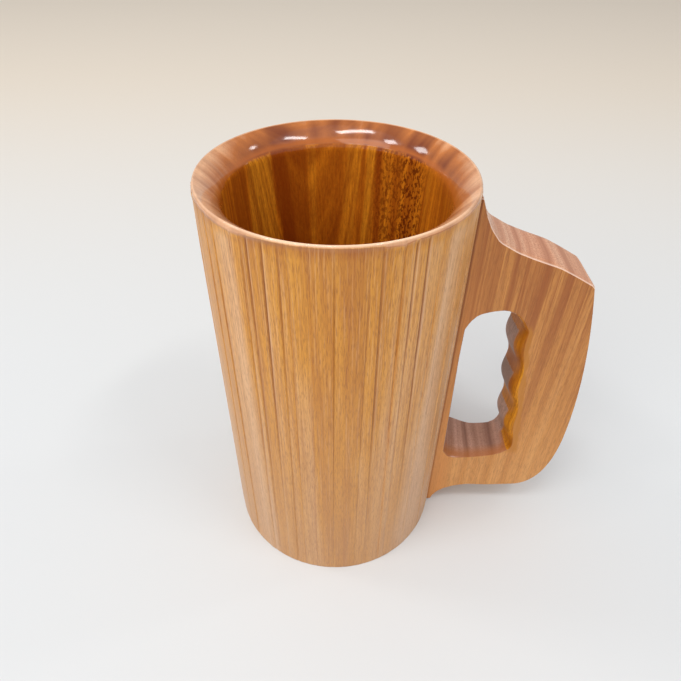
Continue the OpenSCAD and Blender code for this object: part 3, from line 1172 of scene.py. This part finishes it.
            # Painted sheen: at the left and right the lip is painted paler towards its crest and
            # darker towards the bore
            return stops_at(LIP_TONES, angle) + aside * mix(0.28, -0.22, out)
        if radius < self.crest - 0.2:
            # The figure of the flat-sawn side closes in on itself going down
            off = angle - self.flat_sawn_deg
            reach = near(angle, self.flat_sawn_deg, 1, self.flat_sawn_w_deg)
            return stops_at(BORE_TONES, angle + off * reach * 0.9 * (self.lip_foot - place.z) / 60)
        index, share = self.flat_at(angle, place.z)
        own = 0.08 * math.sin(3.1 * index) + 0.06 * math.sin(1.3 * index + 2)
        # Painted shade: each flat grades from pale to dark across its width, as if tilted to the light
        across = 0.16 * (share - 0.5) * math.copysign(1, math.sin(2.1 * index + 1))
        unplaned = -0.3 * (1 - self.planed(index, place.z))
        # Darker round the front: partly the heart of the wood, partly painted light, as the sides are
        # left paler like the lacquer's sheen
        heart = 0.28 * math.exp(-((angle - self.heart_and_sheen_deg) / self.heart_and_sheen_w_deg) ** 2)
        # Painted light: paler going down, where the floor's bounce lifts the wall
        high = 0.22 * (place.z / self.height - 0.5)
        under_rim = 0.3 * limit(1 - (self.height - 1.5 - place.z) / 3.5)
        # Painted sheen: paler towards the right side
        right = -0.1 * limit((angle - 285) / 20) if angle < 340 else 0.0
        return limit(0.24 + own + across + unplaned + heart + high + under_rim + right)

    def rim_highlight_at(self, place: Vector) -> float:
        """How strongly the painted highlight lies on a place: on the rim's rolled edge, and beside
        deep tool lines.

        Args:
            place: A place on the body.

        Returns:
            The share, from 0 to 1.
        """
        angle, radius = bearing(place)
        inward = limit(1 - (self.crest - radius) / 0.35)
        down = limit(1 - (self.roll_foot(place.x, place.y) + 0.1 - place.z) / 0.5)
        side = mix(0.15, 0.55, near(angle, self.dark_roll_deg, 1.4, 18))
        crest = mix(side, 1.0, limit((place.z - self.height + 0.5) / 0.35))
        painted_highlight = inward * down * crest * stops_at(RIM_HIGHLIGHTS, angle)
        if down or place.z < 3 or radius < self.radius - 1.3:
            return painted_highlight
        # Beside a deep line a painted highlight: the pale raised edge of the groove as it catches the
        # light
        for i in range(self.flat_count - 1):
            if 0.8 < apart(angle, self.flat_deg(i + 1, place.z)) / self.line_half(i) < 1.3:
                painted_highlight = max(painted_highlight, 0.5 * self.line_strength(i, place.z) ** 2)
        return painted_highlight

    def throat_at(self, place: Vector) -> float:
        """How near a place is to the rounded edge between the lip and the bore.

        Args:
            place: A place on the body.

        Returns:
            The nearness, 1 on the edge.
        """
        angle, radius = bearing(place)
        if radius > self.crest:
            return 0.0
        over = place.z - self.seam_at(place) - self.seam_drop
        if over > 0:
            return limit(1 - over / 1.5)
        return limit(1 + over / mix(9.0, 1.4, limit(angle / 40))) ** 2

    def fleck_at(self, place: Vector) -> float:
        """How strongly the short dark flecks show at a place in the bore.

        Args:
            place: A place on the body.

        Returns:
            The strength, from 0 to 1.
        """
        angle, radius = bearing(place)
        if radius > self.crest - 0.2:
            return 0.0
        main, side = self.waves_deg
        waves = max(near(angle, main, 1.7, 12 / 1.7), 0.6 * near(angle, side, 1.5, 8))
        return mix(0.12, 1.0, waves) * limit((self.height - 3 - place.z) / 4)

    def foot_bounce_at(self, place: Vector) -> float:
        """How much a place has of the duller, greyer colour low down, which fades going up: painted
        light, the floor's bounce on the lower wall.
        """
        return limit(1.15 - place.z / 110)

    def build(self, *looks: Look) -> Piece:
        """Builds and dresses the body.

        Args:
            *looks: Materials of the planed outside and the foot, of the lip and of the bore.

        Returns:
            The finished piece.
        """
        obj = draw_up("planed_body", self.rings(), closed=True)
        bore_dowel_holes(obj, self.seat_x - self.dowel_in_body, self.radius + 2, self.dowel_r)
        dress(obj, *looks)
        for face in obj.data.polygons:
            middle = face.center / MM
            radius = math.hypot(middle.x, middle.y)
            in_bore = radius < self.bore + 1.7 and self.disc_t < middle.z < self.seam_at(middle)
            on_lip = middle.z > min(self.roll_foot(middle.x, middle.y) + 0.15, self.height - 0.1)
            sloped = radius < self.crest - 0.05 and middle.z > self.seam_at(middle)
            face.material_index = 2 if in_bore else 1 if on_lip or sloped else 0
        for name, value_at in (
                ("line", self.line_at), ("tone", self.tone_at), ("fleck", self.fleck_at),
                # The "rim" attribute holds the painted highlights of the rim's rolled edge and beside
                # the tool lines
                ("rim", self.rim_highlight_at), ("throat", self.throat_at), ("foot", self.foot_bounce_at)):
            store(obj, name, value_at)
        smooth(obj, self.smooth_deg)
        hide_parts("body")
        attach(obj, BODY_NAME)
        return obj


def rounded_corners(points: list[Point2], cut: float) -> list[Point2]:
    """Cuts the corners of a closed outline.

    Args:
        points: The outline.
        cut: Share of each edge that goes at either end.

    Returns:
        The softer outline, with twice the points.
    """
    made = []
    for p, q in zip(points, points[1:] + points[:1]):
        made += [(mix(p[0], q[0], share), mix(p[1], q[1], share)) for share in (cut, 1 - cut)]
    return made


@dataclass
class PlankHandle:
    """The plank handle with its hand opening, finger hollows and rounded edges.

    Lengths are in millimetres. Outlines are given as shares of a width and a height.
    """

    body: PlanedBody
    out: float = 54.9
    corner_drop: float = 36.7
    opening_drop: float = 48.0
    opening_lift: float = 32.8
    under_lift: float = 12.0
    back_lift: float = 48.0
    spine_t: float = 2.9
    spine_flare: float = 1.2
    grip_w: float = 22.9
    grip_lean_deg: float = 6.2
    arch_h: float = 9.0
    floor_h: float = 8.0
    ridges: int = 3
    finger_pitch: float = 21.9
    finger_mid_share: float = 0.49
    ridge_rise: float = 2.3
    ridge_slant: float = 4.5
    roll_d: float = 3.0
    roll_w: float = 0.6
    hand_roll_d: float = 6.0
    back_roll: float = 0.35
    grip_roll_w: float = 1.7
    ridge_ease: float = 0.6
    spine_roll_w: float = 0.7
    # Height over which the grip's roll narrows towards the opening's floor
    roll_narrow_h: float = 14.0
    dowel_in: float = 19.0
    # How far the cutters run past the wood
    cutter_past: float = 1.0
    hole_past: float = 2.0
    # A face this far past the opening's outline still counts as its surface
    hand_margin: float = 3.0
    # The floor's own wood ends this far under the straight part of the grip
    sill_drop: float = 3.0
    # Amber on the plain ends of the grip, where no finger lay, and where a face takes it
    faint_amber: float = 0.35
    full_amber: float = 0.45
    # Where amber starts and how softly: by the share of the way through, and of a hollow's depth
    front_amber: Point2 = (0.24, 0.14)
    hollow_amber: Point2 = (0.68, 0.12)
    # Edges sharper than this stay sharp
    smooth_deg: float = 14.0
    # How much the corners of the outlines are cut, and the steps of the curves and rows
    outline_cut: float = 0.12
    opening_cut: float = 0.2
    curve_steps: int = 14
    grip_rows: int = 60
    roll_steps: int = 8
    plank_rows: int = 15
    top_shares: tuple[Point2, ...] = (
        (0.016, 0.118), (0.053, 0.256), (0.1, 0.4), (0.162, 0.525), (0.286, 0.633),
        (0.4, 0.703), (0.563, 0.79), (0.678, 0.881), (0.815, 1))
    under_shares: tuple[Point2, ...] = (
        (0.69, 1), (0.478, 0.95), (0.326, 0.99), (0.217, 0.88), (0.139, 0.72),
        (0.09, 0.53), (0.057, 0.3), (0.035, 0.05))
    back_pulls: tuple[Point2, Point2] = ((0.66, 0.345), (1, 0.68))
    heel_pulls: tuple[Point2, Point2] = ((0, 0.556), (0.264, 1))
    arch_shares: tuple[Point2, ...] = (
        (0.08, 0.47), (0.19, 0.8), (0.39, 0.95), (0.61, 1), (0.78, 0.8), (0.91, 0.42))
    floor_front: tuple[Point2, ...] = (
        (0.985, 0.75), (0.88, 0.42), (0.74, 0.22), (0.46, 0.06), (0.24, 0), (0.09, 0.05), (0, 0.5))
    floor_back: tuple[Point2, ...] = (
        (1, 0.7), (0.95, 0.3), (0.84, 0.06), (0.57, 0), (0.44, 0.14), (0.19, 0.55), (0.05, 0.8))

    def __post_init__(self) -> None:
        """Works out the places that several methods share."""
        self.seat_x = self.body.seat_x
        self.arch_z = self.body.height - self.opening_drop - self.arch_h
        self.floor_z = self.opening_lift + self.floor_h
        self.finger_mid_z = mix(self.floor_z, self.arch_z, self.finger_mid_share)
        self.finger_reach = self.finger_pitch * self.ridges / 2
        self.spine_top_x = self.seat_x + self.spine_t
        self.spine_foot_x = self.spine_top_x + self.spine_flare
        self.hollow_x = self.seat_x + self.out - self.grip_w
        self.thickness = self.body.handle_t

    def curve(self, p: Point2, q: Point2, pulls: Sequence[Point2]) -> list[Point2]:
        """Points on a cubic curve after p, up to and with q.

        Args:
            p: Where the curve starts.
            q: Where it ends.
            pulls: What pulls it at either end, as shares of the way from p to q.

        Returns:
            The points, without p.
        """
        a, b = ((mix(p[0], q[0], x), mix(p[1], q[1], z)) for x, z in pulls)
        made = []
        for k in range(1, self.curve_steps + 1):
            t = k / self.curve_steps
            s = 1 - t
            made.append(tuple(s * s * s * p[i] + 3 * s * s * t * a[i] + 3 * s * t * t * b[i]
                              + t * t * t * q[i] for i in range(2)))
        return made

    def outline(self) -> list[Point2]:
        """Outline of the plank, from the seat's top over the grip to the seat's foot.

        Returns:
            The outline's points.
        """
        top = [(self.seat_x + self.out * x, self.body.height - self.corner_drop * z)
               for x, z in self.top_shares]
        under = [(self.seat_x + self.out * x, self.under_lift * z) for x, z in self.under_shares]
        back = (self.seat_x + self.out, self.back_lift)
        free = top + self.curve(top[-1], back, self.back_pulls)
        free += self.curve(back, under[0], self.heel_pulls) + under[1:]
        # The corners are softened, and the straight edge on the seat stays as it is
        soft = rounded_corners(free, self.outline_cut)[:-2]
        seat_top, seat_foot = (self.seat_x, top[0][1]), (self.seat_x, under[-1][1])
        return [seat_top, top[0]] + soft + [under[-1], seat_foot]

    def rise_at(self, z: float, f: float) -> float:
        """How far the ridges stand out at a height, for a share f of the way through.

        Args:
            z: The height.
            f: Share of the way through the plank.

        Returns:
            The rise.
        """
        from_mid = z - self.finger_mid_z - self.ridge_slant * (0.5 - f)
        if abs(from_mid) >= self.finger_reach:
            return 0.0
        flip = 180 if self.ridges % 2 == 0 else 0
        wave = (1 + math.cos(math.radians(TURN_DEG * from_mid / self.finger_pitch + flip))) / 2
        return self.ridge_rise * wave

    def grip_x(self, z: float, f: float) -> float:
        """Distance of the grip side of the opening from the axis, for a share f of the depth."""
        lean = math.tan(math.radians(self.grip_lean_deg))
        return self.hollow_x - (z - self.floor_z) * lean - self.rise_at(z, f)

    def opening(self, f: float) -> list[Point2]:
        """Outline of the hand opening at a share f of the way through the plank.

        Args:
            f: Share of the way through the plank.

        Returns:
            The outline's points.
        """
        top_w = self.grip_x(self.arch_z, f) - self.spine_top_x
        floor_w = self.grip_x(self.floor_z, f) - self.spine_foot_x
        points = [(self.spine_foot_x, self.floor_z), (self.spine_top_x, self.arch_z)]
        points += [(self.spine_top_x + top_w * x, self.arch_z + self.arch_h * z)
                   for x, z in self.arch_shares]
        for k in range(self.grip_rows + 1):
            z = mix(self.arch_z, self.floor_z, k / self.grip_rows)
            points.append((self.grip_x(z, f), z))
        for a, b in zip(self.floor_front, self.floor_back):
            x, z = mix(a[0], b[0], f), mix(a[1], b[1], f)
            points.append((self.spine_foot_x + floor_w * x, self.opening_lift + self.floor_h * z))
        return rounded_corners(points, self.opening_cut)

    @staticmethod
    def moved(points: list[Point2], moves: Sequence[float]) -> list[Point2]:
        """Moves every point of a closed outline sideways, to its left, by its own distance.

        Args:
            points: The outline.
            moves: How far each point goes.

        Returns:
            The moved outline.
        """
        made = []
        for i, (x, z) in enumerate(points):
            before, after = points[i - 1], points[(i + 1) % len(points)]
            a = Vector((before[1] - z, x - before[0])).normalized()
            b = Vector((z - after[1], after[0] - x)).normalized()
            side = (a + b) / max(0.4, 1 + a.dot(b))
            made.append((x + side.x * moves[i], z + side.y * moves[i]))
        return made

    def rolled(self, outline: Callable[[float], list[Point2]], deep: float,
               roll: Callable[[Point2, float], float], back_share: float = 1.0,
               extra: float = 0.0) -> list[list[Point3]]:
        """Rings through the plank whose edges roll over.

        Args:
            outline: Outline at each share of the way through.
            deep: How far the rolls reach across the plank.
            roll: Width of the roll at a point and a share of the way through, negative where
                it turns inwards.
            back_share: Width of the back rolls, as a share of the front ones.
            extra: How far a cutter runs past the cheeks.

        Returns:
            The rings, in millimetres.
        """
        angles = [math.radians(90 * k / self.roll_steps) for k in range(self.roll_steps + 1)]
        front = [(deep * (1 - math.cos(a)), 1 - math.sin(a)) for a in angles]
        between = [self.thickness * k / self.plank_rows for k in range(1, self.plank_rows)]
        levels = [(-extra, 1.0)] if extra else []
        levels += front + [(at, 0.0) for at in between if deep < at < self.thickness - deep]
        levels += [(self.thickness - depth, share * back_share) for depth, share in reversed(front)]
        levels += [(self.thickness + extra, back_share)] if extra else []
        rings = []
        for depth, share in levels:
            f = depth / self.thickness
            points = outline(f)
            shifted = self.moved(points, [roll(p, f) * share for p in points])
            rings.append([(x, depth - self.thickness / 2, z) for x, z in shifted])
        return rings

    def outer_roll(self, point: Point2, _: float) -> float:
        """Roll of the outside edge, which dies out at the seat."""
        return -self.roll_w * limit((point[0] - self.seat_x) / self.spine_t)

    def opening_roll(self, point: Point2, f: float) -> float:
        """Roll of the opening's edge, widest on the grip side, where it eases the ridges out.

        Args:
            point: A point of the opening's outline.
            f: Share of the way through the plank.

        Returns:
            The roll's width.
        """
        across = limit((point[0] - self.spine_top_x) / (self.hollow_x - self.spine_top_x))
        ease = self.ridge_ease * self.rise_at(point[1], f) if across > 0.5 else 0.0
        over_floor = limit(0.5 + (point[1] - self.floor_z) / self.roll_narrow_h)
        return mix(self.spine_roll_w, self.grip_roll_w, across * over_floor) + ease

    def in_hand(self, place: Vector) -> bool:
        """Tells whether a face at a place belongs to the opening's inner surface.

        Args:
            place: The middle of the face.

        Returns:
            Whether it belongs there.
        """
        if abs(place.y) > self.thickness / 2 - 0.02:
            return False
        high = self.body.height - self.opening_drop + self.hand_margin
        within = self.opening_lift - self.hand_margin < place.z < high
        return within and self.seat_x + 1 < place.x < self.hollow_x + self.grip_roll_w + 2

    def amber_at(self, place: Vector) -> float:
        """How thick the amber lies at a place: partly lacquer that gathered in the finger hollows,
        partly a painted glow of the light bounced there.

        Args:
            place: A place on the handle.

        Returns:
            The thickness, from 0 to 1.
        """
        f = limit(place.y / self.thickness + 0.5)
        if place.z < self.floor_z - self.sill_drop:
            return 0.85 * limit(1 - (f - 0.1) / 0.2)
        if place.x < self.grip_x(min(place.z, self.arch_z), 0.0) - 5:
            return 0.0
        hollow = 1 - self.rise_at(place.z, f) / self.ridge_rise
        if place.z > self.finger_mid_z + self.finger_reach:
            hollow = self.faint_amber
        if place.z < self.floor_z + 5:
            hollow = mix(self.faint_amber, hollow, limit((0.7 - f) / 0.3))
        (front, front_w), (deep, deep_w) = self.front_amber, self.hollow_amber
        return max(limit(0.5 + (front - f) / front_w), limit(0.5 + (hollow - deep) / deep_w))

    def spine_at(self, place: Vector) -> float:
        """How fully a place belongs to the narrow strip beside the seat, low down."""
        return limit((self.spine_foot_x + 5 - place.x) / 4) * limit((125 - place.z) / 30)

    def rim_highlight_at(self, place: Vector) -> float:
        """How strongly the painted highlight along the front of the plank's top edge lies on a place.
        """
        return limit(1 - (place.y + self.thickness / 2) / 0.9) * float(place.z > 60)

    def build(self, *looks: Look) -> Piece:
        """Builds and dresses the handle.

        Args:
            *looks: Materials of the plank's cheeks, of its top edge, of the hand opening, of the
                rolled edge along the finger hollows and of the opening's floor.

        Returns:
            The finished piece.
        """
        outer = self.outline()
        obj = draw_up("plank_handle", self.rolled(lambda f: outer, self.roll_d, self.outer_roll))
        cut_away(obj, draw_up("opening_cutter", self.rolled(
            self.opening, self.hand_roll_d, self.opening_roll, self.back_roll, self.cutter_past)))
        bore_dowel_holes(obj, self.seat_x - self.hole_past, self.seat_x + self.dowel_in,
                         self.body.dowel_r)
        dress(obj, *looks)
        for face in obj.data.polygons:
            middle = face.center / MM
            if self.in_hand(middle):
                low = middle.z < self.floor_z - self.sill_drop
                amber = self.amber_at(middle) > self.full_amber
                face.material_index = 4 if low else 3 if amber else 2
            elif abs(middle.y) < self.thickness / 2 - 0.05:
                # Faces turned up take the paler edge teak: partly end grain, partly painted reflection
                # of the ceiling
                face.material_index = 1 if face.normal.z > 0.35 else 0
        store(obj, "amber", self.amber_at)
        store(obj, "spine", self.spine_at)
        # The "rim" attribute holds the painted highlight along the top edge's front
        store(obj, "rim", self.rim_highlight_at)
        smooth(obj, self.smooth_deg)
        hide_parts("handle")
        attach(obj, BODY_NAME)
        return obj


@dataclass
class Studio:
    """Pale floor, soft light and the camera at the photograph's angle.

    The camera's place is in millimetres and its turns are in radians. Everything else is in
    metres and watts.
    """

    focal_px: float = 572.55
    camera_mm: Point3 = (0.0, -169.9, 239.06)
    pitch: float = 0.71196
    yaw: float = 0.01
    roll: float = 0.0121
    floor_side: float = 8.0
    # The floor is cool towards the camera and warm this far behind the mug
    cool_floor: str = "#DCDEDE"
    warm_floor: str = "#E9DECE"
    warm_from: float = 0.7
    room_colour: str = "#FCFCFF"
    room_strength: float = 0.56
    # Height of the tubes, and for each its place along X and Y, width, depth and power
    tube_z: float = 1.3
    tubes: tuple[tuple[float, ...], ...] = (
        (-0.19, -0.28, 0.44, 0.12, 3.2), (0.58, -0.36, 0.38, 0.10, 2.2),
        (-0.80, -0.28, 0.20, 0.16, 1.6), (-1.20, 0.30, 0.30, 0.22, 2.6),
        (1.13, 0.30, 0.12, 0.12, 0.8))

    def camera(self) -> None:
        """Makes the camera and sets it as the scene's."""
        data = bpy.data.cameras.new("camera")
        data.sensor_width = SENSOR_MM
        data.lens = SENSOR_MM * self.focal_px / PICTURE_SIDE_PX
        data.clip_start, data.clip_end = 0.01, 50.0
        cos_p, sin_p = math.cos(self.pitch), math.sin(self.pitch)
        ahead = Vector((math.sin(self.yaw) * cos_p, math.cos(self.yaw) * cos_p, -sin_p))
        right = ahead.cross(Vector((0, 0, 1))).normalized()
        up = right.cross(ahead)
        c, s = math.cos(self.roll), math.sin(self.roll)
        turned_right, turned_up = c * right + s * up, -s * right + c * up
        obj = bpy.data.objects.new("camera", data)
        matrix = Matrix((turned_right, turned_up, -ahead)).transposed().to_4x4()
        matrix.translation = Vector(self.camera_mm) * MM
        obj.matrix_world = matrix
        bpy.context.scene.collection.objects.link(obj)
        bpy.context.scene.camera = obj

    def floor(self) -> None:
        """Makes the pale floor, warm behind the mug and cooler towards the camera."""
        deselect()
        bpy.ops.mesh.primitive_plane_add(size=self.floor_side, location=(0, 0, 0))
        obj = bpy.context.object
        obj.name = "floor"
        material = bpy.data.materials.new("paper_floor")
        material.use_nodes = True
        tree = material.node_tree
        tree.nodes.clear()
        place = add_node(tree, "TexCoord", out="Object")
        behind = add_node(tree, "SeparateXYZ", {0: place}, out="Y")
        away = add_node(tree, "MapRange", {
            "Value": behind, "From Min": 0.0, "From Max": self.warm_from},
            interpolation_type="SMOOTHSTEP")
        tint = add_node(tree, "Mix", {
            0: away, 6: linear(self.cool_floor), 7: linear(self.warm_floor)}, out=2,
            data_type="RGBA")
        shader = add_node(tree, "BsdfDiffuse", {"Color": tint})
        add_node(tree, "OutputMaterial", {"Surface": shader})
        dress(obj, material)

    def lamp(self, name: str, place: Point3, target: Point3, size: Point2, power: float,
             colour: str = "#FFFFFF") -> None:
        """Adds one area lamp that faces a target.

        Args:
            name: The lamp's name.
            place: Where it hangs.
            target: What it faces.
            size: Its width and length.
            power: Its power.
            colour: Its colour.
        """
        data = bpy.data.lights.new(name, "AREA")
        data.shape = "RECTANGLE"
        data.size, data.size_y = size
        data.energy = power
        data.color = linear(colour)[:3]
        obj = bpy.data.objects.new(name, data)
        obj.location = place
        way = Vector(target) - Vector(place)
        obj.rotation_euler = way.to_track_quat("-Z", "Y").to_euler()
        bpy.context.scene.collection.objects.link(obj)

    def lights(self) -> None:
        """Adds the soft room light and the lamps overhead."""
        world = bpy.data.worlds.new("room")
        world.use_nodes = True
        world.node_tree.nodes.clear()
        back = add_node(world.node_tree, "Background", {
            "Color": linear(self.room_colour), "Strength": self.room_strength})
        add_node(world.node_tree, "OutputWorld", {"Surface": back})
        bpy.context.scene.world = world
        self.lamp("ceiling", (0.0, -0.35, 1.3), (0, -0.3, 0.0), (2.0, 0.6), 1.6, "#E6ECFF")
        self.lamp("window", (-1.1, -1.8, 1.9), (0, 0, 0.1), (2.2, 1.7), 26.0, "#FFFDF8")
        for number, (x, y, width, depth, power) in enumerate(self.tubes):
            self.lamp(f"tube_{number}", (x, y, self.tube_z), (0, 0, 0.16), (width, depth), power)

    def build(self) -> None:
        """Sets the stage."""
        self.camera()
        self.floor()
        self.lights()
        bpy.context.scene.view_settings.view_transform = "Standard"


def main() -> None:
    """Builds the mug piece by piece and sets the stage."""
    logging.basicConfig(level=logging.INFO, format="%(message)s")
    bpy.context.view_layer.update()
    body = PlanedBody()
    piece = body.build(PLANED_TEAK.make(), LIP_TEAK.make(), BORE_TEAK.make())
    LOG.info("%s: %d faces", piece.name, len(piece.data.polygons))
    piece = PlankHandle(body).build(
        PLANK_TEAK.make(), EDGE_TEAK.make(), HOLLOW_TEAK.make(), AMBER_TEAK.make(),
        SILL_TEAK.make())
    LOG.info("%s: %d faces", piece.name, len(piece.data.polygons))
    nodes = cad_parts
    dress(nodes["base_disc"], DISC_TEAK.make())
    LOG.info("base_disc: dressed")
    beech = DOWEL_BEECH.make()
    for name in DOWELS:
        dress(nodes[name], beech)
        LOG.info("%s: dressed", name)
    Studio().build()
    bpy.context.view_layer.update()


if __name__ == "__main__":
    main()
